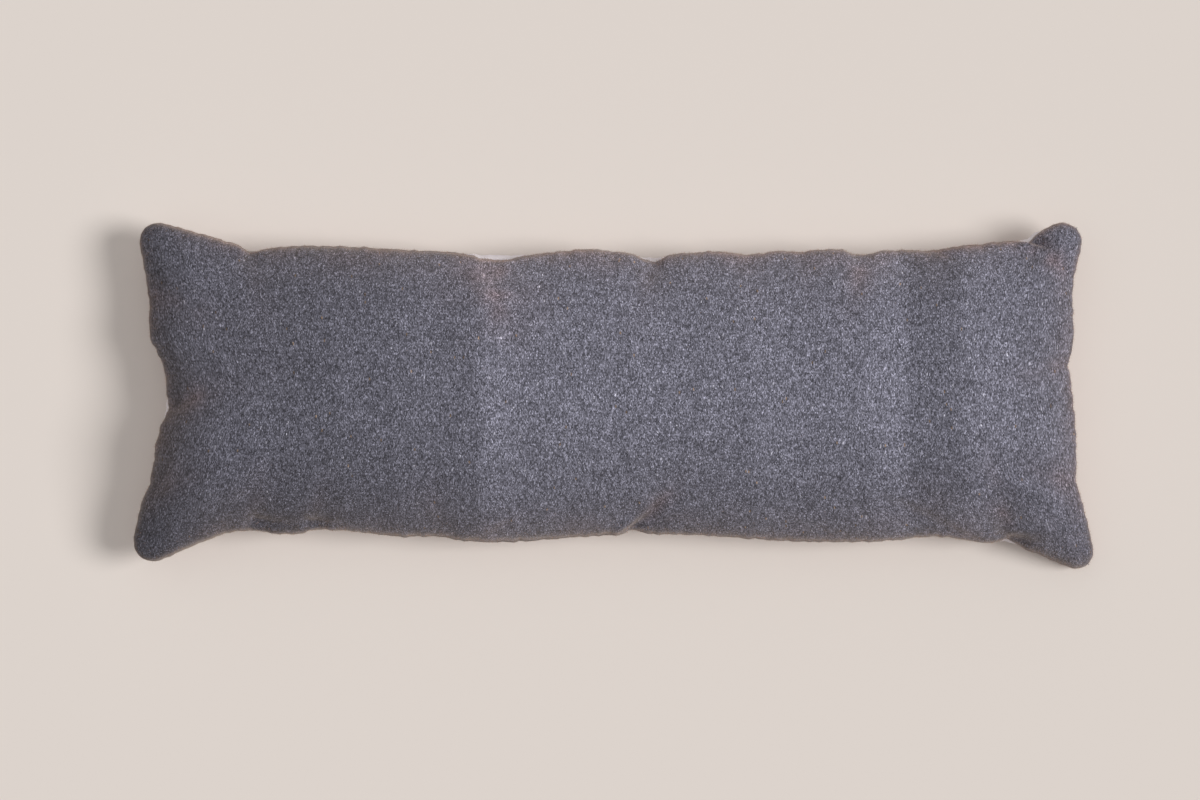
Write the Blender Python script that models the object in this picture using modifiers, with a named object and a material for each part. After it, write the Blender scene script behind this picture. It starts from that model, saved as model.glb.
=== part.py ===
"""A long stuffed pillow, lying on its back: a grey wool front with its fill, and a white cotton back panel.

Metres, +Z up. The origin is under the middle of the pillow, on the surface that it lies on. +X runs along
its length and +Y across it. The tables and sizes below are in millimetres.
"""

import math
from collections import namedtuple

import bmesh
import bpy
import numpy as np

MM = 0.001
NOTHING = 1e-9  # stands for zero where a division needs it

# The pillow's body, without its ears
BODY_LENGTH = 880.0
BODY_WIDTH = 272.0
SEAM_HEIGHT = 44.0
RIM_ROLL = 7.0
CROWN_RISE = 76.0
BELLY_DROP = 52.0

# How fast the crown and the belly fall away towards the long sides and the ends
ACROSS_POWER = 2.2
ALONG_POWER = 6.0
FALL_POWER = 0.6

# How far into the panel the shape of a side is felt, and how near the corners the seam comes down
SIDE_REACH_POWER = 3.0
END_REACH_POWER = 10.0
TIP_ALONG_POWER = 10.0
TIP_ACROSS_POWER = 3.0

# The back panel's cloth, the gap that keeps it off the fill, and the soft start of its flat patch
SHEET_THICKNESS = 2.0
GAP = 0.3
FLOOR_BLEND = 4.0

# A tuck's valley is deepest at this share of its reach, and the back bulges most this far below the seam
VALLEY_PEAK = 1.0 / 3.0
BULGE_PEAK = 10.0

# The grid of each panel, with finer cells beside the seam
CELLS_ALONG = 68
CELLS_ACROSS = 16
FIRST_CELL = 0.22
CELL_RAMP = 5

# The four ears: the centre and radius of the round tip, then how far the ear's flank runs back along the
# long side and along the end before it meets the body, how bowed each flank is, and how far the tip hangs
# below the height of the seam.
Ear = namedtuple("Ear", "x y radius long_run long_bend end_run end_bend tip_drop")
EARS = {
    "left_top": Ear(-434.0, 146.5, 18.2, 84.0, 0.95, 50.0, 1.2, 5.0),
    "left_bottom": Ear(-438.8, -138.2, 19.2, 62.0, 1.15, 48.0, 0.6, 7.0),
    "right_top": Ear(426.1, 146.2, 18.5, 25.0, 0.6, 28.0, 0.9, 5.0),
    "right_bottom": Ear(442.0, -149.2, 16.0, 62.0, 1.0, 62.0, 0.85, 33.0),
}

# The line of the seam between the ears: (place along the side, distance out from the middle)
SEAM_LINES = {
    "top": [
        (-346.0, 139.5),
        (-300.0, 142.5),
        (-262.0, 142.0),
        (-165.0, 137.5),
        (-115.0, 138.5),
        (-64.0, 136.5),
        (-22.0, 139.3),
        (12.0, 135.8),
        (60.0, 135.2),
        (100.0, 137.5),
        (126.0, 137.0),
        (215.0, 139.5),
        (275.0, 138.5),
        (335.0, 143.0),
        (400.0, 148.5),
    ],
    "bottom": [
        (-374.0, 130.0),
        (-340.0, 128.5),
        (-312.0, 131.5),
        (-275.0, 127.5),
        (-200.0, 134.0),
        (-108.0, 138.8),
        (-20.0, 133.0),
        (60.0, 131.5),
        (180.0, 138.3),
        (235.0, 138.6),
        (330.0, 136.5),
        (357.0, 140.0),
        (378.0, 138.0),
    ],
    "left": [
        (-88.0, 442.0),
        (-62.0, 437.8),
        (-40.0, 434.5),
        (-22.0, 429.5),
        (0.0, 426.2),
        (20.0, 426.5),
        (36.0, 431.5),
        (54.0, 441.0),
        (80.0, 442.0),
        (104.0, 443.0),
    ],
    "right": [
        (-86.0, 439.0),
        (-30.0, 438.0),
        (15.0, 434.0),
        (62.0, 436.5),
        (90.0, 435.2),
        (120.0, 437.0),
    ],
}

# The tucks where the front panel is drawn in at the seam: how deep each bites into the outline, its width,
# how far its valley runs up the crown, how deep that valley is, how far it leans along the side for each
# millimetre up, and how far the back panel bulges out past the seam there.
Tuck = namedtuple("Tuck", "side place depth width reach drop lean bulge")
TUCKS = [
    Tuck("top", -346.0, 3.0, 11.0, 40.0, 3.0, 0.3, 0.0),
    Tuck("top", -112.0, 9.5, 29.0, 60.0, 5.0, 0.0, 5.5),
    Tuck("top", 36.0, 8.0, 12.0, 45.0, 4.0, -0.2, 2.5),
    Tuck("top", 126.0, 3.0, 17.0, 34.0, 1.5, 0.0, 0.0),
    Tuck("top", 178.0, 2.0, 10.0, 30.0, 1.2, 0.1, 0.0),
    Tuck("top", 235.0, 5.5, 14.0, 40.0, 3.0, -0.2, 0.0),
    Tuck("top", 302.0, 2.2, 15.0, 34.0, 1.5, 0.2, 0.0),
    Tuck("top", 398.0, 3.5, 9.0, 40.0, 6.0, 0.7, 2.0),
    Tuck("bottom", -352.0, 1.0, 14.0, 40.0, 3.0, 0.3, 0.0),
    Tuck("bottom", -285.0, 1.5, 10.0, 34.0, 2.0, 0.2, 0.0),
    Tuck("bottom", -170.0, 3.0, 20.0, 36.0, 1.8, 0.0, 0.0),
    Tuck("bottom", 19.0, 4.5, 10.0, 45.0, 4.0, 0.8, 0.0),
    Tuck("bottom", 302.0, 2.0, 24.0, 40.0, 2.0, 0.1, 0.0),
    Tuck("bottom", 376.0, 2.5, 9.0, 50.0, 5.0, -0.3, 2.5),
    Tuck("left", -12.0, 3.5, 12.0, 60.0, 4.0, 0.3, 4.5),
    Tuck("left", 96.0, 0.0, 16.0, 44.0, 3.0, -0.3, 0.0),
    Tuck("left", -88.0, 0.0, 16.0, 44.0, 3.0, 0.3, 0.0),
    Tuck("right", 51.5, 3.5, 5.0, 30.0, 2.0, 0.0, 0.0),
    Tuck("right", 30.0, 3.5, 11.0, 40.0, 2.5, -0.2, 0.0),
    Tuck("right", -84.0, 0.0, 16.0, 40.0, 2.5, 0.3, 0.0),
]

# The fill is uneven: soft lumps and hollows of the face
Lump = namedtuple("Lump", "x y length width height")
LUMPS = [
    Lump(-395.0, -70.0, 60.0, 60.0, 13.0),
    Lump(-385.0, 60.0, 60.0, 60.0, -4.0),
    Lump(-280.0, 30.0, 80.0, 80.0, 2.0),
    Lump(-205.0, -30.0, 70.0, 90.0, -2.0),
    Lump(-60.0, 25.0, 120.0, 90.0, 2.0),
    Lump(70.0, -35.0, 80.0, 80.0, -2.2),
    Lump(190.0, 20.0, 90.0, 80.0, 2.2),
    Lump(330.0, -15.0, 80.0, 90.0, -2.0),
]

# Each side: the axis that it runs along, which way it faces across, and the ears at its two ends
Side = namedtuple("Side", "axis facing first last")
SIDES = {
    "top": Side(0, 1, "left_top", "right_top"),
    "bottom": Side(0, -1, "left_bottom", "right_bottom"),
    "left": Side(1, -1, "left_bottom", "left_top"),
    "right": Side(1, 1, "right_bottom", "right_top"),
}

WOOL_GREY = (0.155, 0.152, 0.185)
COTTON_WHITE = (0.80, 0.76, 0.74)


def through(rows, places):
    """A smooth curve through a table's (place, value) rows, level past its two ends."""
    at, value = np.array(rows).T
    slope = np.gradient(value, at)
    slope[[0, -1]] = 0.0
    i = np.clip(np.searchsorted(at, places) - 1, 0, len(at) - 2)
    step = at[i + 1] - at[i]
    t = np.clip((places - at[i]) / step, 0.0, 1.0)
    ease = t * t * (3.0 - 2.0 * t)
    leave = t * (1.0 - t) ** 2 * step * slope[i]
    arrive = t * t * (t - 1.0) * step * slope[i + 1]
    return value[i] + (value[i + 1] - value[i]) * ease + leave + arrive


class Flank:
    """One ear as seen from one side: its round tip, and the flank that runs back to the body."""

    def __init__(self, side_name, ear_name, heading):
        side, ear = SIDES[side_name], EARS[ear_name]
        along_long_side = side.axis == 0
        self.heading = heading
        self.radius = ear.radius
        self.along = (ear.x, ear.y)[side.axis]
        self.out = abs((ear.x, ear.y)[1 - side.axis])
        self.run = ear.long_run if along_long_side else ear.end_run
        self.bend = ear.long_bend if along_long_side else ear.end_bend
        rows = SEAM_LINES[side_name]
        height = self.out + self.radius - through(rows, self.along)
        slope = math.atan(self.bend * height / self.run)
        self.arc = self.radius * (math.pi / 4.0 + slope)
        self.meets = self.along + heading * self.radius * math.sin(slope)
        self.rise = self.out + self.radius * math.cos(slope) - through(rows, self.meets)

    def tip(self, walked):
        """Places along and out on the round tip, after so many millimetres from the corner."""
        turn = math.pi / 4.0 - walked / self.radius
        along = self.along - self.heading * self.radius * np.sin(turn)
        return along, self.out + self.radius * np.cos(turn)

    def lift(self, along):
        """How far out of the seam line the flank stands."""
        back = np.clip(self.heading * (along - self.meets) / self.run, 0.0, 1.0)
        return self.rise * (1.0 - back) ** self.bend


def seam(side_name, share):
    """Plan points (x, y) of one side's seam, from 0 at its first ear to 1 at its last."""
    side = SIDES[side_name]
    first = Flank(side_name, side.first, 1)
    last = Flank(side_name, side.last, -1)
    total = first.arc + (last.meets - first.meets) + last.arc
    walked = share * total
    along = first.meets + walked - first.arc
    out = through(SEAM_LINES[side_name], along) + first.lift(along) + last.lift(along)
    for flank, from_corner in ((first, walked), (last, total - walked)):
        on_tip = from_corner < flank.arc
        tip_along, tip_out = flank.tip(from_corner)
        along = np.where(on_tip, tip_along, along)
        out = np.where(on_tip, tip_out, out)
    facing_out = side.facing * out
    return np.stack([along, facing_out] if side.axis == 0 else [facing_out, along], axis=-1)


def plan(a, b):
    """Plan points of the panel without its tucks. a and b run from -1 to 1 along and across it."""
    flat = np.stack([a * BODY_LENGTH / 2.0, b * BODY_WIDTH / 2.0], axis=-1)
    weight = {
        "top": ((1.0 + b) / 2.0) ** SIDE_REACH_POWER,
        "bottom": ((1.0 - b) / 2.0) ** SIDE_REACH_POWER,
        "left": ((1.0 - a) / 2.0) ** END_REACH_POWER,
        "right": ((1.0 + a) / 2.0) ** END_REACH_POWER,
    }
    moved = flat.copy()
    for name, side in SIDES.items():
        share = ((a, b)[side.axis] + 1.0) / 2.0
        at_side = flat.copy()
        at_side[..., 1 - side.axis] = side.facing * (BODY_WIDTH, BODY_LENGTH)[side.axis] / 2.0
        moved += (seam(name, share) - at_side) * weight[name][..., None]
    for end, x_facing in (("left", -1.0), ("right", 1.0)):
        for long_side, y_facing in (("top", 1.0), ("bottom", -1.0)):
            corner = seam(long_side, np.array(0.5 + 0.5 * x_facing))
            square = np.array([x_facing * BODY_LENGTH / 2.0, y_facing * BODY_WIDTH / 2.0])
            shared = (weight[end] * weight[long_side])[..., None]
            moved -= (corner - square) * shared
    return moved


def inward(a, b):
    """Millimetres of cloth between a point and each side, by the side's name."""
    return {
        "top": (1.0 - b) * BODY_WIDTH / 2.0,
        "bottom": (1.0 + b) * BODY_WIDTH / 2.0,
        "left": (1.0 + a) * BODY_LENGTH / 2.0,
        "right": (1.0 - a) * BODY_LENGTH / 2.0,
    }


def hump(distance, peak):
    """0 at the seam, 1 where it peaks, then dying away."""
    t = distance / peak
    return t * np.exp(1.0 - t)


def fullness(a, b):
    """1 over the middle of the pillow, 0 at the seam."""
    across = (1.0 - np.abs(b) ** ACROSS_POWER) ** FALL_POWER
    along = (1.0 - np.abs(a) ** ALONG_POWER) ** FALL_POWER
    return across * along


def seam_height(a, b):
    """The height of the seam over the surface, lower towards the tip of each ear."""
    near_tip = np.abs(a) ** TIP_ALONG_POWER * np.abs(b) ** TIP_ACROSS_POWER
    left = np.where(b > 0, EARS["left_top"].tip_drop, EARS["left_bottom"].tip_drop)
    right = np.where(b > 0, EARS["right_top"].tip_drop, EARS["right_bottom"].tip_drop)
    return SEAM_HEIGHT - near_tip * np.where(a < 0, left, right)


def rim(a, b):
    """The quarter round by which a panel turns out of the seam, from 0 at the seam to RIM_ROLL."""
    along = (1.0 - np.abs(a)) * BODY_LENGTH / 2.0
    across = (1.0 - np.abs(b)) * BODY_WIDTH / 2.0
    from_seam = along * across / np.maximum(np.hypot(along, across), NOTHING)
    still_to_go = 1.0 - np.minimum(from_seam / RIM_ROLL, 1.0)
    return RIM_ROLL * np.sqrt(1.0 - still_to_go * still_to_go)


def draw_in(a, b):
    """The tucks' work at each point: the shift of the plan, the valley's depth and the back's bulge."""
    base = plan(a, b)
    from_side = inward(a, b)
    shift, bulge = np.zeros_like(base), np.zeros_like(base)
    valley = np.zeros_like(a)
    for tuck in TUCKS:
        side = SIDES[tuck.side]
        up = from_side[tuck.side]
        off = base[..., side.axis] - tuck.place - tuck.lean * up
        bell = np.exp(-((off / tuck.width) ** 2))
        t = np.clip(up / tuck.reach, 0.0, 1.0)
        shift[..., 1 - side.axis] -= side.facing * tuck.depth * bell * (1.0 - t) ** 2 * (1.0 + 2.0 * t)
        bulge[..., 1 - side.axis] += side.facing * tuck.bulge * bell * hump(up, BULGE_PEAK)
        valley += tuck.drop * bell * hump(up, tuck.reach * VALLEY_PEAK)
    off_seam = rim(a, b) / RIM_ROLL
    return base + shift, valley * off_seam, bulge * off_seam[..., None]


def lumps(points):
    """The uneven fill's rise and fall over plan points."""
    total = np.zeros(points.shape[:-1])
    for lump in LUMPS:
        x = (points[..., 0] - lump.x) / lump.length
        y = (points[..., 1] - lump.y) / lump.width
        total += lump.height * np.exp(-(x * x + y * y))
    return total


def soft_floor(height):
    """Exactly 0 where the cloth would lie below the surface, with a soft start of its rise."""
    eased = (height + FLOOR_BLEND) ** 2 / (4.0 * FLOOR_BLEND)
    return np.where(height < -FLOOR_BLEND, 0.0, np.where(height > FLOOR_BLEND, height, eased))


def front_surface(a, b):
    """Points of the wool front, in millimetres."""
    points, valley, _ = draw_in(a, b)
    full = fullness(a, b)
    height = seam_height(a, b) + rim(a, b) + full * (CROWN_RISE + lumps(points)) - valley
    return np.concatenate([points, height[..., None]], axis=-1)


def back_surface(a, b):
    """Points of the back panel's outer face, in millimetres, just under the front's rim."""
    points, _, bulge = draw_in(a, b)
    height = soft_floor(seam_height(a, b) - GAP - rim(a, b) - fullness(a, b) * BELLY_DROP)
    return np.concatenate([points + bulge, height[..., None]], axis=-1)


def spaced(cells, at):
    """Moves an even -1 to 1 row of grid lines so that the cells beside its two ends are finer."""
    i = np.arange(cells)
    from_end = np.minimum(i, cells - 1 - i) / CELL_RAMP
    lengths = FIRST_CELL + (1.0 - FIRST_CELL) * np.minimum(from_end, 1.0)
    lines = np.concatenate([[0.0], np.cumsum(lengths)])
    return np.interp(at, np.linspace(-1.0, 1.0, cells + 1), 2.0 * lines / lines[-1] - 1.0)


def panel(surface):
    """A grid whose points lie on a surface. Its faces look up."""
    cloth = bmesh.new()
    bmesh.ops.create_grid(cloth, x_segments=CELLS_ALONG, y_segments=CELLS_ACROSS, size=1.0)
    cloth.verts.ensure_lookup_table()
    even = np.array([v.co[:2] for v in cloth.verts])
    a, b = spaced(CELLS_ALONG, even[:, 0]), spaced(CELLS_ACROSS, even[:, 1])
    outline = draw_in(a, b)[0]
    middle = (outline.min(axis=0) + outline.max(axis=0)) / 2.0
    placed = surface(a, b) - np.append(middle, 0.0)
    for vert, point in zip(cloth.verts, placed):
        vert.co = point * MM
    bmesh.ops.triangulate(cloth, faces=cloth.faces, quad_method="SHORT_EDGE")
    cloth.normal_update()
    return cloth


def filled_front():
    """The front panel and its fill as one solid: crowned on top, and shaped to the back panel beneath."""
    solid = panel(front_surface)
    under = panel(back_surface)
    inwards = (SHEET_THICKNESS + GAP) * MM
    for vert in under.verts:
        vert.co = vert.co + vert.normal * inwards
        if vert.is_boundary:
            vert.co.z += GAP * MM
    rim = [tuple(vert.index for vert in edge.verts) for edge in solid.edges if edge.is_boundary]
    below = len(solid.verts)
    underside = bpy.data.meshes.new("underside")
    under.to_mesh(underside)
    under.free()
    solid.from_mesh(underside)
    bpy.data.meshes.remove(underside)
    solid.verts.ensure_lookup_table()
    for first, last in rim:
        corners = (first, last, last + below, first + below)
        solid.faces.new([solid.verts[i] for i in corners])
    bmesh.ops.recalc_face_normals(solid, faces=solid.faces)
    return solid


def back_panel():
    """The back panel's outer face, turned to look down and out."""
    cloth = panel(back_surface)
    bmesh.ops.reverse_faces(cloth, faces=cloth.faces)
    return cloth


def cloth_material(name, colour, roughness, sheen):
    material = bpy.data.materials.new(name)
    material.use_nodes = True
    shader = material.node_tree.nodes["Principled BSDF"]
    shader.inputs["Base Color"].default_value = (*colour, 1.0)
    shader.inputs["Roughness"].default_value = roughness
    shader.inputs["Metallic"].default_value = 0.0
    shader.inputs["Sheen Weight"].default_value = sheen
    return material


def add(name, body, material, collection):
    mesh = bpy.data.meshes.new(name)
    body.to_mesh(mesh)
    body.free()
    mesh.shade_smooth()
    mesh.materials.append(material)
    made = bpy.data.objects.new(name, mesh)
    collection.objects.link(made)
    return made


def main():
    for old in list(bpy.data.objects):
        bpy.data.objects.remove(old)
    pillow = bpy.data.collections.new("long_pillow")
    bpy.context.scene.collection.children.link(pillow)

    wool = cloth_material("grey_wool", WOOL_GREY, 0.95, 0.3)
    cotton = cloth_material("white_cotton", COTTON_WHITE, 0.85, 0.1)
    add("filled_front", filled_front(), wool, pillow)
    back = add("back_panel", back_panel(), cotton, pillow)
    thickness = back.modifiers.new("cloth_thickness", "SOLIDIFY")
    thickness.thickness = SHEET_THICKNESS * MM
    thickness.offset = -1.0


main()
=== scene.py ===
# %% [markdown]
# # A long stuffed pillow, seen from above
#
# This lesson dresses the plain model of a long pillow: a front panel of grey wool, a back panel of white
# cotton, and a fill that pushes both out. The pillow lies on its back on a pale table, and the camera
# looks straight down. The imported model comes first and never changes. Every piece is made around it.

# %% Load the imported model
import math
from collections import namedtuple

import bpy
import numpy as np
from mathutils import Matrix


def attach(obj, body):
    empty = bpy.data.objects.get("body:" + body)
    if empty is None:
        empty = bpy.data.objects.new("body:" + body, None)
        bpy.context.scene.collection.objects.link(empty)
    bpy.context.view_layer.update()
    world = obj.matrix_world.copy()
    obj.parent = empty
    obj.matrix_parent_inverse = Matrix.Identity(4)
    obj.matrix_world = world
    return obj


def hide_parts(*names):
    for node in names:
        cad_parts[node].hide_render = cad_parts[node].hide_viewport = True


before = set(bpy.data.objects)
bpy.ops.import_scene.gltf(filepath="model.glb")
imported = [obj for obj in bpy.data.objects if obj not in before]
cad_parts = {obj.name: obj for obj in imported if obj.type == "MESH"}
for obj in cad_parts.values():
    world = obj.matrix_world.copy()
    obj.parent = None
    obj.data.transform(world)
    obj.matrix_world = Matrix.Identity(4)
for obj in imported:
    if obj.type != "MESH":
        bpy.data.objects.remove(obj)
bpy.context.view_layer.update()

# %% [markdown]
# ## The seam, seen from above
#
# A maker cuts two rectangles, sews them together all round and stuffs them. The fill draws the sides in,
# so the four corners are left standing out as ears. The seam could be one long freehand line. Here it is
# said in a maker's terms instead, which are easier to change: four round ear tips with a flank on each
# side of them, a line for each side between the ears, and a table of the tucks where the cloth is
# gathered. All sizes in the tables are in millimetres.

# %% The body and its four ears
MM = 0.001
NOTHING = 1e-9  # stands for zero where a division needs it
BODY_LENGTH = 880.0
BODY_WIDTH = 272.0

# The middle and radius of each round tip, how far its flanks run back along the long side and the end and
# how hollow they are, how far the tip drops towards the table, and how near the tip that drop begins.
Ear = namedtuple("Ear", "x y radius long_run long_bend end_run end_bend tip_drop drop_power")
EARS = {
    "left_top": Ear(-433.6, 146.4, 18.2, 84.0, 0.95, 50.0, 1.2, 0.0, 10.0),
    "left_bottom": Ear(-438.4, -138.0, 19.2, 62.0, 1.15, 48.0, 0.6, 1.0, 10.0),
    "right_top": Ear(426.0, 146.2, 18.5, 25.0, 0.6, 28.0, 0.9, 1.0, 10.0),
    "right_bottom": Ear(442.2, -149.3, 16.0, 62.0, 1.0, 62.0, 0.85, 36.0, 3.5),
}
print("ears:", ", ".join(EARS))

# %% The line of the seam on each side: (place along the side, distance out from the middle)
SEAM_LINES = {
    "top": [
        (-346.0, 139.5), (-300.0, 142.5), (-262.0, 142.0), (-165.0, 137.5), (-115.0, 138.5),
        (-64.0, 136.5), (-22.0, 139.3), (12.0, 135.8), (60.0, 135.2), (100.0, 137.5),
        (126.0, 137.0), (215.0, 139.5), (275.0, 138.5), (335.0, 143.0), (400.0, 148.5),
    ],
    "bottom": [
        (-374.0, 130.0), (-340.0, 128.5), (-312.0, 131.5), (-275.0, 127.5), (-200.0, 134.0),
        (-108.0, 138.8), (-20.0, 133.0), (60.0, 131.5), (180.0, 138.3), (235.0, 138.6),
        (330.0, 136.5), (357.0, 140.0), (378.0, 138.0),
    ],
    "left": [
        (-88.0, 442.0), (-62.0, 437.8), (-40.0, 434.5), (-22.0, 429.5), (0.0, 426.2),
        (20.0, 426.5), (36.0, 431.5), (54.0, 441.0), (80.0, 442.0), (104.0, 443.0),
    ],
    "right": [
        (-86.0, 439.0), (-30.0, 438.0), (15.0, 434.0), (62.0, 436.5), (90.0, 435.2), (120.0, 437.0),
    ],
}

# The axis that a side runs along, the direction that it faces, and the ears at its two ends.
Side = namedtuple("Side", "axis facing first last")
SIDES = {
    "top": Side(0, 1, "left_top", "right_top"),
    "bottom": Side(0, -1, "left_bottom", "right_bottom"),
    "left": Side(1, -1, "left_bottom", "left_top"),
    "right": Side(1, 1, "right_bottom", "right_top"),
}
print("marks along the seam:", {name: len(rows) for name, rows in SEAM_LINES.items()})

# %% [markdown]
# ## A smooth curve through a few marks
#
# The rows above are the maker's marks, and the cloth runs smoothly between them. A Blender curve could do
# that, but a short numpy function is easier to ask for thousands of places at once.

# %% A smooth curve through a table
def through(rows, places):
    """A smooth curve through (place, value) rows, level past its two ends."""
    at, value = np.array(rows).T
    slope = np.gradient(value, at)
    slope[[0, -1]] = 0.0
    i = np.clip(np.searchsorted(at, places) - 1, 0, len(at) - 2)
    step = at[i + 1] - at[i]
    t = np.clip((places - at[i]) / step, 0.0, 1.0)
    ease = t * t * (3.0 - 2.0 * t)
    leave = t * (1.0 - t) ** 2 * step * slope[i]
    arrive = t * t * (t - 1.0) * step * slope[i + 1]
    return value[i] + (value[i + 1] - value[i]) * ease + leave + arrive


print("the top seam stands out by", round(float(through(SEAM_LINES["top"], 0.0)), 1), "mm at its middle")

# %% [markdown]
# ## The ears
#
# An ear is what is left of a square corner once the fill has drawn the sides in. Its tip is round, because
# a turned corner never comes out sharp, and its two flanks curve back to the body. Joining circles to a
# rectangle would leave kinks. Here the seam is walked instead: round the tip first, then down the flank,
# which fades into the side's own line.

# %% One ear, seen from one side
class Flank:
    """An ear's round tip, and the flank that runs back from it to the body."""

    def __init__(self, side_name, ear_name, heading):
        side, ear = SIDES[side_name], EARS[ear_name]
        along_long_side = side.axis == 0
        self.heading = heading
        self.radius = ear.radius
        self.along = (ear.x, ear.y)[side.axis]
        self.out = abs((ear.x, ear.y)[1 - side.axis])
        self.run = ear.long_run if along_long_side else ear.end_run
        self.bend = ear.long_bend if along_long_side else ear.end_bend
        rows = SEAM_LINES[side_name]
        height = self.out + self.radius - through(rows, self.along)
        slope = math.atan(self.bend * height / self.run)
        self.arc = self.radius * (math.pi / 4.0 + slope)
        self.meets = self.along + heading * self.radius * math.sin(slope)
        self.rise = self.out + self.radius * math.cos(slope) - through(rows, self.meets)

    def tip(self, walked):
        """Places along and out on the round tip, so many millimetres from the corner."""
        turn = math.pi / 4.0 - walked / self.radius
        along = self.along - self.heading * self.radius * np.sin(turn)
        return along, self.out + self.radius * np.cos(turn)

    def lift(self, along):
        """How far out of the side's line the flank stands."""
        back = np.clip(self.heading * (along - self.meets) / self.run, 0.0, 1.0)
        return self.rise * (1.0 - back) ** self.bend


print("the upper left ear rises by", round(float(Flank("top", "left_top", 1).rise), 1), "mm")


# %% The seam of one side
def seam(side_name, share):
    """Plan points (x, y) of one side's seam, from 0 at its first ear to 1 at its last."""
    side = SIDES[side_name]
    first = Flank(side_name, side.first, 1)
    last = Flank(side_name, side.last, -1)
    total = first.arc + (last.meets - first.meets) + last.arc
    walked = share * total
    along = first.meets + walked - first.arc
    out = through(SEAM_LINES[side_name], along) + first.lift(along) + last.lift(along)
    for flank, from_corner in ((first, walked), (last, total - walked)):
        on_tip = from_corner < flank.arc
        tip_along, tip_out = flank.tip(from_corner)
        along = np.where(on_tip, tip_along, along)
        out = np.where(on_tip, tip_out, out)
    facing_out = side.facing * out
    return np.stack([along, facing_out] if side.axis == 0 else [facing_out, along], axis=-1)


print("the seam starts at", np.round(seam("top", np.array(0.0)), 1), "mm")

# %% [markdown]
# ## From the seam to the whole panel
#
# A panel is a sheet of cloth, so it is laid out as a grid: a runs along it and b across it, both from -1
# to 1. The four seams pull the grid's edges into place, and the pull dies away towards the middle, where
# the threads run straight. A remeshed lump would have the same outline. The grid is used because the same
# two numbers later tell the weave where each thread lies.

# %% Lay the grid between the four seams
SIDE_REACH_POWER = 3.0
END_REACH_POWER = 10.0


def plan(a, b):
    """Plan points of a panel before its tucks."""
    flat = np.stack([a * BODY_LENGTH / 2.0, b * BODY_WIDTH / 2.0], axis=-1)
    weight = {
        "top": ((1.0 + b) / 2.0) ** SIDE_REACH_POWER,
        "bottom": ((1.0 - b) / 2.0) ** SIDE_REACH_POWER,
        "left": ((1.0 - a) / 2.0) ** END_REACH_POWER,
        "right": ((1.0 + a) / 2.0) ** END_REACH_POWER,
    }
    moved = flat.copy()
    for name, side in SIDES.items():
        share = ((a, b)[side.axis] + 1.0) / 2.0
        at_side = flat.copy()
        at_side[..., 1 - side.axis] = side.facing * (BODY_WIDTH, BODY_LENGTH)[side.axis] / 2.0
        moved += (seam(name, share) - at_side) * weight[name][..., None]
    for end, x_facing in (("left", -1.0), ("right", 1.0)):
        for long_side, y_facing in (("top", 1.0), ("bottom", -1.0)):
            corner = seam(long_side, np.array(0.5 + 0.5 * x_facing))
            square = np.array([x_facing * BODY_LENGTH / 2.0, y_facing * BODY_WIDTH / 2.0])
            shared = (weight[end] * weight[long_side])[..., None]
            moved -= (corner - square) * shared
    return moved


print("middle of the grid:", np.round(plan(np.array(0.0), np.array(0.0)), 1), "mm")

# %% How far a point is from the seams
RIM_ROLL = 7.0


def inward(a, b):
    """Millimetres of cloth between a point and each side."""
    return {
        "top": (1.0 - b) * BODY_WIDTH / 2.0,
        "bottom": (1.0 + b) * BODY_WIDTH / 2.0,
        "left": (1.0 + a) * BODY_LENGTH / 2.0,
        "right": (1.0 - a) * BODY_LENGTH / 2.0,
    }


def from_seam(a, b):
    """Millimetres to the nearest seam, rounded off in the corners."""
    along = (1.0 - np.abs(a)) * BODY_LENGTH / 2.0
    across = (1.0 - np.abs(b)) * BODY_WIDTH / 2.0
    return along * across / np.maximum(np.hypot(along, across), NOTHING)


def rim(a, b):
    """The quarter round by which a panel turns out of the seam."""
    still_to_go = 1.0 - np.minimum(from_seam(a, b) / RIM_ROLL, 1.0)
    return RIM_ROLL * np.sqrt(1.0 - still_to_go * still_to_go)


print("the panels turn out of the seam with a radius of", RIM_ROLL, "mm")

# %% [markdown]
# ## Tucks
#
# Where the stitches have caught a little more cloth, the seam steps inward and a valley runs up the crown.
# Each could be sculpted by hand. One bell-shaped pull and a table do the same for all of them. At five of
# them the white back swells out past the wool, and shows from above as a thin sliver.

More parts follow.
